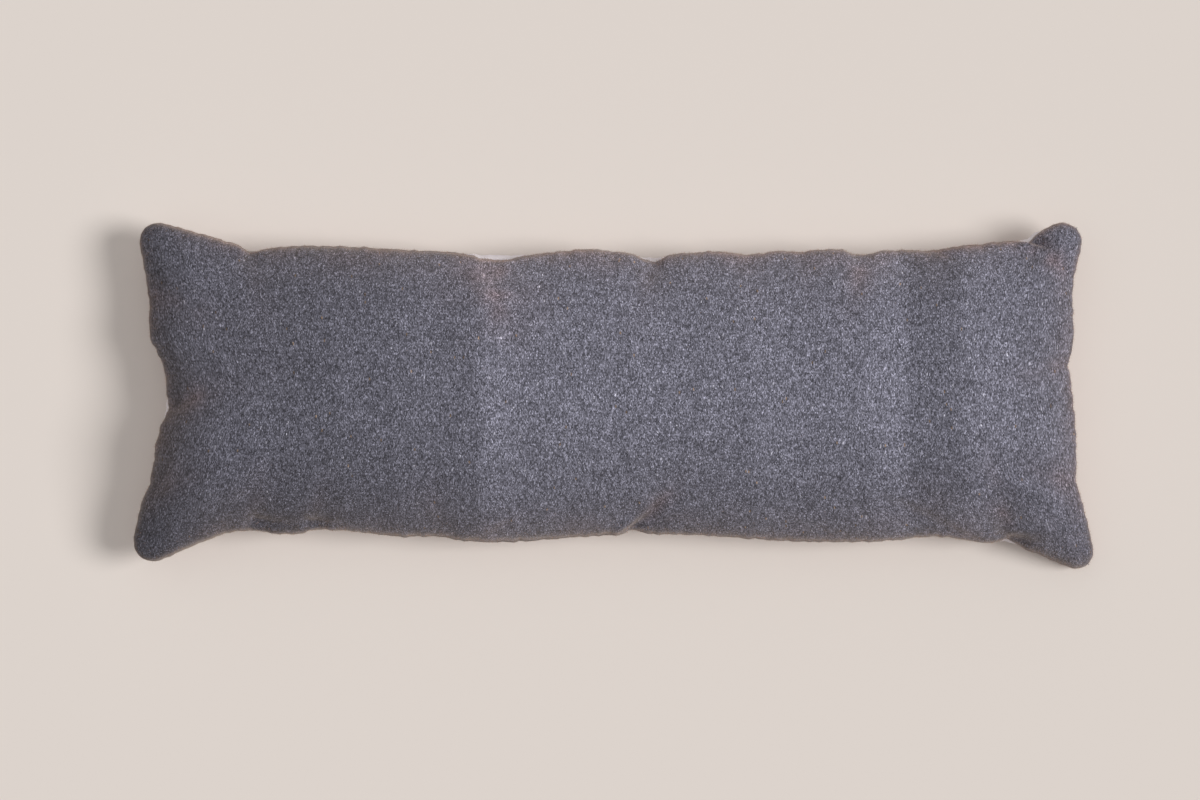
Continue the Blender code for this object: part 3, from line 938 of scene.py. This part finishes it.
# %% [markdown]
# ## Materials from nodes
#
# A picture of cloth would blur as soon as you look closely. Here the cloth is worked out from its threads
# instead: nodes divide the cloth map into grains, one for each place where a weft thread shows, and give
# each grain its own shade and its own rounded height. A few short helpers keep the node graphs readable.

# %% A material and a node
def new_material(name, color, roughness, specular):
    material = bpy.data.materials.new(name)
    material.use_nodes = True
    shader = material.node_tree.nodes["Principled BSDF"]
    shader.inputs["Base Color"].default_value = (*color, 1.0)
    shader.inputs["Roughness"].default_value = roughness
    shader.inputs["Specular IOR Level"].default_value = specular
    print("material:", name)
    return material, shader


def add_node(tree, kind, inputs=(), **settings):
    """A node with its settings, whose inputs are each a value or another node's socket."""
    node = tree.nodes.new(kind)
    for name, value in settings.items():
        setattr(node, name, value)
    for name, value in dict(inputs).items():
        if isinstance(value, bpy.types.NodeSocket):
            tree.links.new(value, node.inputs[name])
        else:
            node.inputs[name].default_value = value
    return node


# %% Sums, noise and mixed colours
def sums(tree, operation, *values):
    """One operation on one, two or three numbers."""
    return add_node(tree, "ShaderNodeMath", enumerate(values), operation=operation).outputs[0]


def vector(tree, x, y):
    return add_node(tree, "ShaderNodeCombineXYZ", {"X": x, "Y": y}).outputs[0]


def noise(tree, at, scale, detail):
    inputs = {"Vector": at, "Scale": scale, "Detail": detail}
    return add_node(tree, "ShaderNodeTexNoise", inputs, noise_dimensions="2D").outputs


def scaled(tree, value, low, high, new_low, new_high):
    inputs = {"Value": value, "From Min": low, "From Max": high, "To Min": new_low, "To Max": new_high}
    return add_node(tree, "ShaderNodeMapRange", inputs).outputs["Result"]


def grey(tree, shade):
    inputs = {"Red": shade, "Green": shade, "Blue": shade}
    return add_node(tree, "ShaderNodeCombineColor", inputs).outputs[0]


def mixed(tree, factor, first, second, blend="MIX"):
    """One colour over another, by a factor from 0 to 1."""
    made = add_node(tree, "ShaderNodeMix", data_type="RGBA", blend_type=blend)
    for socket, value in ((made.inputs[0], factor), (made.inputs[6], first), (made.inputs[7], second)):
        if isinstance(value, bpy.types.NodeSocket):
            tree.links.new(value, socket)
        else:
            socket.default_value = (*value, 1.0) if isinstance(value, tuple) else value
    return made.outputs[2]


# %% Read the numbers that the cloth carries
def cloth_millimetres(tree):
    """The two lengths of the cloth map, in millimetres."""
    cloth = add_node(tree, "ShaderNodeUVMap", uv_map="cloth").outputs["UV"]
    parts = add_node(tree, "ShaderNodeSeparateXYZ", {"Vector": cloth})
    return [sums(tree, "DIVIDE", parts.outputs[axis], MM) for axis in ("X", "Y")]


def point_number(tree, name):
    return add_node(tree, "ShaderNodeAttribute", attribute_name=name).outputs["Fac"]


# %% [markdown]
# ## The weave of the wool
#
# The front is a blanket wool in which thick weft threads hide the warp. What shows is rows of small
# upright grains, like bricks: each row is one warp thread, and the grains of the next row sit half a grain
# over. Real threads in a mesh would take millions of faces, so the nodes count rows and grains the way a
# brick pattern does. The threads wander a little, which a slow noise adds before the counting.

# %% Count the rows and the grains
WARP_PITCH = 2.84
WEFT_PITCH = 1.4
WANDER = 0.9
WANDER_SCALE = 0.13
WANDER_DETAIL = 2.0


def grains(tree, u, v):
    """The number of each grain, and how far across and along it a point lies."""
    wandering = noise(tree, vector(tree, u, v), WANDER_SCALE, WANDER_DETAIL)["Color"]
    offsets = add_node(tree, "ShaderNodeSeparateColor", {"Color": wandering})
    shift_u = sums(tree, "MULTIPLY_ADD", offsets.outputs["Red"], WANDER * 2.0, u)
    shift_v = sums(tree, "MULTIPLY_ADD", offsets.outputs["Green"], WANDER * 2.0, v)
    rows = sums(tree, "DIVIDE", shift_v, WARP_PITCH)
    row = sums(tree, "FLOOR", rows)
    odd = sums(tree, "FRACT", sums(tree, "MULTIPLY", row, 0.5))
    columns = sums(tree, "ADD", sums(tree, "DIVIDE", shift_u, WEFT_PITCH), odd)
    column = sums(tree, "FLOOR", columns)
    return vector(tree, column, row), sums(tree, "FRACT", columns), sums(tree, "FRACT", rows)


def arch(tree, share, power):
    """0 at both ends and 1 in the middle, fuller with a smaller power."""
    return sums(tree, "POWER", sums(tree, "SINE", sums(tree, "MULTIPLY", share, math.pi)), power)


print("warp threads to the inch:", round(25.4 / WARP_PITCH, 1))

# %% [markdown]
# ## The bands of shade
#
# The yarn changed from bobbin to bobbin, which shows as soft bands across the pillow. A noise could make
# bands somewhere, but a table puts them where they are: it gives the place where each band starts, in
# millimetres from the middle, and its shade. The first two bands, at the left end, and the last one, at
# the right end, are darker partly with painted shade, where the crown turns steeply down. A colour ramp
# turns the table into a node.

# %% The bands of shade
Band = namedtuple("Band", "start shade")
# the first two bands and the last are partly painted shade at the steep ends of the crown
YARN_BANDS_AND_END_SHADE = [
    Band(-480.0, 0.50), Band(-430.0, 0.64), Band(-412.0, 0.70), Band(-320.0, 0.67), Band(-262.0, 0.73),
    Band(-205.0, 0.815), Band(-126.0, 1.12), Band(-95.0, 1.0), Band(20.0, 1.03), Band(40.0, 0.97),
    Band(128.0, 1.08), Band(168.0, 0.98), Band(240.0, 1.12), Band(278.0, 0.82), Band(333.0, 1.03),
    Band(385.0, 0.94),
]
BAND_BLUR = 5.0
BAND_SPAN = (-500.0, 500.0)
SHADE_SPAN = (0.5, 1.3)


def yarn_band_and_end_shade(tree, u):
    """The shade of the band that a place along the cloth lies in, with painted shade at the two ends."""
    low, high = BAND_SPAN
    place = scaled(tree, u, low, high, 0.0, 1.0)
    ramp = add_node(tree, "ShaderNodeValToRGB", {"Fac": place})
    stops = ramp.color_ramp.elements
    shades = [(band.shade - SHADE_SPAN[0]) / (SHADE_SPAN[1] - SHADE_SPAN[0]) for band in YARN_BANDS_AND_END_SHADE]
    marks = [(YARN_BANDS_AND_END_SHADE[0].start, shades[0])]
    for band, before, after in zip(YARN_BANDS_AND_END_SHADE[1:], shades, shades[1:]):
        marks += [(band.start - BAND_BLUR, before), (band.start + BAND_BLUR, after)]
    while len(stops) < len(marks):
        stops.new(0.5)
    for stop, (start, shade) in zip(stops, marks):
        stop.position = (start - low) / (high - low)
        stop.color = (shade, shade, shade, 1.0)
    return scaled(tree, ramp.outputs["Color"], 0.0, 1.0, *SHADE_SPAN)


print("bands of shade:", len(YARN_BANDS_AND_END_SHADE))

# %% [markdown]
# ## The heathered yarn
#
# The yarn is spun from light and dark fibres. A single noise would look like dirt, so three things are
# added up: a shade for every grain, finer streaks for the fibres that lie along the weft, and a slow
# mottle. Their sum is used as an exponent, so that light and dark come out evenly. The gaps between the
# grains carry painted shade, and so does the side of the crown that is turned away from the light of the
# room.

# %% Shade each grain and each streak of fibres in it
GRAIN_CONTRAST = 0.35
STREAK_CONTRAST = 1.0
STREAK_WIDTH, STREAK_LENGTH = 0.7, 1.45
MOTTLE_CONTRAST = 0.22
MOTTLE_SCALE, MOTTLE_DETAIL = 0.06, 3.0
# the gap shade and the near-side shade below are painted shade
GAP_HILL, GAP_SHADE = 0.6, 0.72
NEAR_SIDE = (-150.0, -20.0)
NEAR_SIDE_SHADE = 0.77


def bell_chance(tree, number, contrast):
    """A random shade for each number, from -contrast to contrast and mostly near 0."""
    chance = add_node(tree, "ShaderNodeTexWhiteNoise", {"Vector": number}, noise_dimensions="2D")
    parts = add_node(tree, "ShaderNodeSeparateColor", {"Color": chance.outputs["Color"]}).outputs
    total = sums(tree, "ADD", sums(tree, "ADD", parts["Red"], parts["Green"]), parts["Blue"])
    return scaled(tree, total, 0.5, 2.5, -contrast, contrast), chance.outputs["Value"]


def streak_number(tree, u, v):
    """The number of the short streak of fibres that a point lies in."""
    strand = sums(tree, "FLOOR", sums(tree, "DIVIDE", u, STREAK_WIDTH))
    start = add_node(tree, "ShaderNodeTexWhiteNoise", {"W": strand}, noise_dimensions="1D")
    pieces = sums(tree, "ADD", sums(tree, "DIVIDE", v, STREAK_LENGTH), start.outputs["Value"])
    return vector(tree, strand, sums(tree, "FLOOR", pieces))


def wool_shade(tree, u, v, number, hill):
    """How much lighter or darker than the plain wool each place is."""
    grain, chance = bell_chance(tree, number, GRAIN_CONTRAST)
    streak, _ = bell_chance(tree, streak_number(tree, u, v), STREAK_CONTRAST)
    slow = noise(tree, vector(tree, u, v), MOTTLE_SCALE, MOTTLE_DETAIL)["Fac"]
    mottle = scaled(tree, slow, 0.0, 1.0, -MOTTLE_CONTRAST, MOTTLE_CONTRAST)
    total = sums(tree, "EXPONENT", sums(tree, "ADD", sums(tree, "ADD", grain, streak), mottle))
    # painted shade in the gaps between grains and on the near side of the crown
    painted_gap_and_side_shade = scaled(tree, hill, 0.0, GAP_HILL, GAP_SHADE, 1.0)
    painted_gap_and_side_shade = sums(tree, "MULTIPLY", painted_gap_and_side_shade, scaled(tree, v, *NEAR_SIDE, NEAR_SIDE_SHADE, 1.0))
    shade = sums(tree, "MULTIPLY", sums(tree, "MULTIPLY", total, painted_gap_and_side_shade), yarn_band_and_end_shade(tree, u))
    return shade, chance


print("streaks of fibres:", STREAK_WIDTH, "by", STREAK_LENGTH, "mm")

# %% [markdown]
# ## The grey wool
#
# Matt wool has no gloss, but its nap glows a little where it is seen edge on. The shader's sheen does
# that from every direction, in a warm tint, and beside the seam a painted warm glow in the colour adds
# to it, for more sheen and for light thrown back from the table. A few grains are pale flecks and a very
# few are tan. The colour turns browner with that painted glow where the points say so, and lighter or
# darker with patches of painted light and shade, and the height of each grain goes into a bump, since it
# is a quarter of a millimetre.

# %% The colours of the wool
WOOL_COLOR = (0.163, 0.160, 0.2)
FLECK_COLOR = (0.26, 0.255, 0.30)
TAN_COLOR = (0.24, 0.175, 0.135)
FLECK_SHARE = 0.004
TAN_SHARE = 0.002
# the tint below is a painted warm glow beside the seam, standing in for sheen and light thrown back by the
# table
PAINTED_GLOW_TINT = (1.31, 1.02, 0.91)

wool, wool_shader = new_material("grey_wool", WOOL_COLOR, 0.92, 0.12)
wool_shader.inputs["Sheen Weight"].default_value = 0.42
wool_shader.inputs["Sheen Roughness"].default_value = 0.45
wool_shader.inputs["Sheen Tint"].default_value = (1.0, 0.82, 0.68, 1.0)

# %% Weave the wool
GRAIN_HEIGHT = 0.28
GRAIN_BUMP = 0.8
GRAIN_ACROSS_POWER, GRAIN_ALONG_POWER = 0.8, 0.5
PATCH_SCALE, PATCH_DETAIL = 0.02, 2.0
PATCH_SPAN = (0.35, 0.65)
PATCH_LEAST = 0.2


def weave_wool(material, shader):
    tree = material.node_tree
    u, v = cloth_millimetres(tree)
    number, across, along = grains(tree, u, v)
    arches = arch(tree, across, GRAIN_ACROSS_POWER), arch(tree, along, GRAIN_ALONG_POWER)
    hill = sums(tree, "MULTIPLY", *arches)
    shade, chance = wool_shade(tree, u, v, number, hill)
    is_fleck = sums(tree, "GREATER_THAN", chance, 1.0 - FLECK_SHARE)
    flecked = mixed(tree, is_fleck, WOOL_COLOR, FLECK_COLOR)
    flecked = mixed(tree, sums(tree, "LESS_THAN", chance, TAN_SHARE), flecked, TAN_COLOR)
    slow = noise(tree, vector(tree, u, v), PATCH_SCALE, PATCH_DETAIL)["Fac"]
    patchy = scaled(tree, slow, *PATCH_SPAN, PATCH_LEAST, 1.0)
    # painted warm glow beside the seam, made patchy by a slow noise
    glow_by = sums(tree, "MULTIPLY", point_number(tree, "painted_rim_glow"), patchy)
    with_painted_glow = mixed(tree, glow_by, flecked, PAINTED_GLOW_TINT, "MULTIPLY")
    shaded = mixed(tree, 1.0, with_painted_glow, grey(tree, shade), "MULTIPLY")
    # painted light and shade in patches
    patch_light_and_shade = sums(tree, "ADD", point_number(tree, "painted_light_and_shade"), 1.0)
    shaded = mixed(tree, 1.0, shaded, grey(tree, patch_light_and_shade), "MULTIPLY")
    tree.links.new(shaded, shader.inputs["Base Color"])
    inputs = {"Strength": GRAIN_BUMP, "Distance": GRAIN_HEIGHT * MM, "Height": hill}
    bump = add_node(tree, "ShaderNodeBump", inputs)
    tree.links.new(bump.outputs["Normal"], shader.inputs["Normal"])


weave_wool(wool, wool_shader)
wool_front.data.materials.append(wool)
print("grey wool nodes:", len(wool.node_tree.nodes))

# %% [markdown]
# ## The standing fibres
#
# The fibres that stand out are a mix of brown and grey. Several materials would do, but one is enough: a
# node gives every loose spike of the mesh its own random number, which picks a colour between two.

# %% Colour the fibres
NAP_COLORS = ((0.55, 0.31, 0.19), (0.38, 0.27, 0.22))
nap, nap_shader = new_material("wool_nap", NAP_COLORS[0], 0.9, 0.1)
tree = nap.node_tree
island = add_node(tree, "ShaderNodeNewGeometry").outputs["Random Per Island"]
tree.links.new(mixed(tree, island, *NAP_COLORS), nap_shader.inputs["Base Color"])
wool_nap.data.materials.append(nap)
print("colours of the fibres:", len(NAP_COLORS))

# %% [markdown]
# ## The white cotton
#
# The back is a plain white cotton, finer than the wool. It shows only as slivers, so one flat white would
# nearly do, but the part is also seen from other sides. Two rows of arches, one for each direction, make
# its threads, and a noise drawn out along the cloth makes the slubs of uneven yarn.

# %% Weave the cotton
COTTON_COLOR = (0.95, 0.88, 0.91)
COTTON_PITCH = 0.55
COTTON_ARCH_POWER = 0.7
COTTON_HEIGHT, COTTON_BUMP = 0.1, 0.5
THREAD_SHADES = (0.86, 1.04)
SLUB_DRAWN_OUT = 0.1
SLUB_SCALE, SLUB_DETAIL = 0.9, 2.0
SLUB_SPAN, SLUB_SHADES = (0.3, 0.7), (0.93, 1.0)


def weave_cotton(material, shader):
    tree = material.node_tree
    u, v = cloth_millimetres(tree)
    threads = []
    for lengths in (u, v):
        share = sums(tree, "FRACT", sums(tree, "DIVIDE", lengths, COTTON_PITCH))
        threads.append(arch(tree, share, COTTON_ARCH_POWER))
    hill = sums(tree, "MULTIPLY", *threads)
    drawn_out = vector(tree, sums(tree, "MULTIPLY", u, SLUB_DRAWN_OUT), v)
    slub = scaled(tree, noise(tree, drawn_out, SLUB_SCALE, SLUB_DETAIL)["Fac"], *SLUB_SPAN, *SLUB_SHADES)
    shade = sums(tree, "MULTIPLY", scaled(tree, hill, 0.0, 1.0, *THREAD_SHADES), slub)
    white = mixed(tree, 1.0, COTTON_COLOR, grey(tree, shade), "MULTIPLY")
    tree.links.new(white, shader.inputs["Base Color"])
    inputs = {"Strength": COTTON_BUMP, "Distance": COTTON_HEIGHT * MM, "Height": hill}
    bump = add_node(tree, "ShaderNodeBump", inputs)
    tree.links.new(bump.outputs["Normal"], shader.inputs["Normal"])


cotton, cotton_shader = new_material("white_cotton", COTTON_COLOR, 0.8, 0.2)
weave_cotton(cotton, cotton_shader)
cotton_back.data.materials.append(cotton)
print("white cotton nodes:", len(cotton.node_tree.nodes))

# %% [markdown]
# ## The table
#
# The pillow lies on plain pale paper. A wall-to-wall sweep is often built for such pictures, but from
# straight above a large flat plane looks the same. It lies just under the pillow, so that the two never
# flicker into each other. It is no part of the pillow.

# %% Lay the table
TABLE_SIZE = 6.0
TABLE_DROP = 0.5
TABLE_COLOR = (0.727, 0.661, 0.613)
bpy.ops.mesh.primitive_plane_add(size=TABLE_SIZE, location=(0.0, 0.0, -TABLE_DROP * MM))
table = bpy.context.object
table.name = "table"
table.data.materials.append(new_material("pale_table", TABLE_COLOR, 1.0, 0.0)[0])
print("table:", TABLE_SIZE, "m wide")

# %% [markdown]
# ## The light
#
# The shadows are soft and short and fall to the left, so one large soft light stands to the right, about
# halfway up. An area lamp would fall off across the table. A sun with a wide angle keeps the table even,
# and the angle sets how soft the edge of a shadow is.

# %% Hang the soft light
SUN_ELEVATION = 46.5
SUN_HEADING = -1.0
SUN_SPREAD = 25.0
SUN_STRENGTH = 2.129
sun_data = bpy.data.lights.new("soft_light", "SUN")
sun_data.energy = SUN_STRENGTH
sun_data.angle = math.radians(SUN_SPREAD)
sun = bpy.data.objects.new("soft_light", sun_data)
sun.rotation_euler = (0.0, math.radians(90.0 - SUN_ELEVATION), math.radians(SUN_HEADING))
bpy.context.scene.collection.objects.link(sun)
print("soft light at", SUN_ELEVATION, "degrees up")

# %% [markdown]
# ## The white room
#
# A white room sends light back from all around, mostly from overhead, and more from the left and from
# beyond the pillow than from the other sides. Reflector cards could stand for it. A world that grows
# brighter towards those directions does it with a few nodes. The walls that the camera sees in a low view
# get a steady brightness of their own, which lights nothing.

# %% Light the room
ROOM_STRENGTH = 0.86
ROOM_SLOPE_X, ROOM_SLOPE_Y = -0.6, 0.38
ROOM_POWER = 1.5
ROOM_WALLS = 0.7
room = bpy.data.worlds.new("white_room")
bpy.context.scene.world = room
room.use_nodes = True
tree = room.node_tree
direction = add_node(tree, "ShaderNodeTexCoord").outputs["Generated"]
parts = add_node(tree, "ShaderNodeSeparateXYZ", {"Vector": direction}).outputs
overhead = sums(tree, "POWER", sums(tree, "MAXIMUM", parts["Z"], 0.0), ROOM_POWER)
strength = sums(tree, "MULTIPLY_ADD", parts["Y"], ROOM_STRENGTH * ROOM_SLOPE_Y, ROOM_STRENGTH)
strength = sums(tree, "MULTIPLY_ADD", parts["X"], ROOM_STRENGTH * ROOM_SLOPE_X, strength)
lit = sums(tree, "MULTIPLY", overhead, strength)
seen = add_node(tree, "ShaderNodeLightPath").outputs["Is Camera Ray"]
walls = sums(tree, "MULTIPLY", seen, ROOM_WALLS)
background = tree.nodes["Background"]
background.inputs["Color"].default_value = (1.0, 1.0, 1.0, 1.0)
tree.links.new(sums(tree, "MAXIMUM", lit, walls), background.inputs["Strength"])
print("room nodes:", len(tree.nodes))

# %% [markdown]
# ## The camera
#
# The picture looks straight down from far away, so the pillow shows hardly any of its sides. A camera
# without perspective would show none at all. A long lens is used, and the distance follows from it: the
# frame is as wide as the table that it shows, at the height where the outline of the pillow lies.

# %% Hang the camera
PHOTO_WIDTH = 1200
PHOTO_HEIGHT = 800
MM_PER_PIXEL = 0.952
PILLOW_MIDDLE_PIXEL = (614.5, 396.0)
LENS = 150.0
SENSOR = 36.0
OUTLINE_HEIGHT = 42.0
camera_data = bpy.data.cameras.new("camera")
camera_data.lens = LENS
camera_data.sensor_width = SENSOR
camera_data.sensor_fit = "HORIZONTAL"
camera = bpy.data.objects.new("camera", camera_data)
distance = PHOTO_WIDTH * MM_PER_PIXEL * LENS / SENSOR
camera.location = (
    ((PHOTO_WIDTH / 2 - PILLOW_MIDDLE_PIXEL[0]) * MM_PER_PIXEL - middle[0]) * MM,
    ((PILLOW_MIDDLE_PIXEL[1] - PHOTO_HEIGHT / 2) * MM_PER_PIXEL - middle[1]) * MM,
    (distance + OUTLINE_HEIGHT) * MM,
)
bpy.context.scene.collection.objects.link(camera)
bpy.context.scene.camera = camera
bpy.context.scene.view_settings.view_transform = "Standard"
print("camera at", [round(v, 4) for v in camera.location])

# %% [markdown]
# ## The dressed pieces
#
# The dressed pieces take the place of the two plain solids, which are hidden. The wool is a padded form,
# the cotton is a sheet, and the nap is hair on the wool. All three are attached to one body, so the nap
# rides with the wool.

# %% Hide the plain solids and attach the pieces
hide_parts("filled_front")
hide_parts("back_panel")
for piece, slot in ((wool_front, "grey_wool"), (wool_nap, "grey_wool"), (cotton_back, "white_cotton")):
    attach(piece, "root")
print("pieces:", wool_front.name, cotton_back.name, wool_nap.name)
